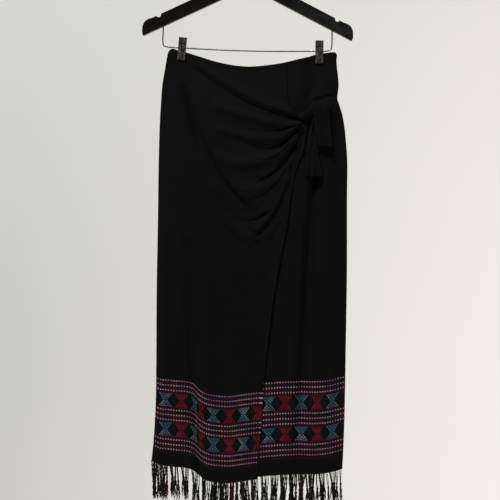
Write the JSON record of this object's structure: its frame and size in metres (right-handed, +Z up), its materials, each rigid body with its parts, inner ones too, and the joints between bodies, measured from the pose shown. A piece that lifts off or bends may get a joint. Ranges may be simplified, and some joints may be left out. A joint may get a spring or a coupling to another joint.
{
  "type": "wrap skirt on a clip hanger",
  "caption": "Long dark wrap skirt with a side tie, woven hem border and knotted fringe, clipped by its waist to a wooden trouser hanger.",
  "frame": {"origin": "where a rail touches the inside of the hook, at the top of its curve", "axes": "+Z up; the front of the skirt faces -Y; +X is to the right of someone who faces it"},
  "size_m": [0.4449, 0.071, 1.2223],
  "materials": {
    "cloth_over": "soft matt woven cloth, near black, with a woven hem border of dark red, pale blue and pink",
    "cloth_under": "soft matt woven cloth, near black, with the same woven hem border",
    "cloth_back": "soft matt woven cloth, near black, with the same woven hem border",
    "cloth_tie": "soft matt woven cloth, near black, plain",
    "fringe_yarn": "twisted and knotted warp yarn, near black with a few dark red and blue grey ends",
    "hanger_wood": "smooth wood, stained black and satin varnished",
    "hook_steel": "bright steel wire",
    "bar_steel": "bright steel wire",
    "clip_metal": "stamped sheet, brushed, slightly warm",
    "clip_spring": "coiled spring wire",
    "clip_rubber": "dark soft pads"
  },
  "bodies": {
    "root": {"over_front": "cloth_over", "under_front": "cloth_under", "back": "cloth_back", "tie_left_run": "cloth_tie", "tie_right_run": "cloth_tie", "tie_knot": "cloth_tie", "tie_tail_front": "cloth_tie", "tie_tail_back": "cloth_tie", "fringe_over": "fringe_yarn", "fringe_under": "fringe_yarn", "fringe_back": "fringe_yarn", "hanger_body": "hanger_wood", "hanger_hook": "hook_steel", "hanger_bar": "bar_steel", "clip_left_jaw_front": "clip_metal", "clip_left_jaw_back": "clip_metal", "clip_left_pad_front": "clip_rubber", "clip_left_pad_back": "clip_rubber", "clip_left_spring": "clip_spring", "clip_right_jaw_front": "clip_metal", "clip_right_jaw_back": "clip_metal", "clip_right_pad_front": "clip_rubber", "clip_right_pad_back": "clip_rubber", "clip_right_spring": "clip_spring"}
  },
  "joints": []
}
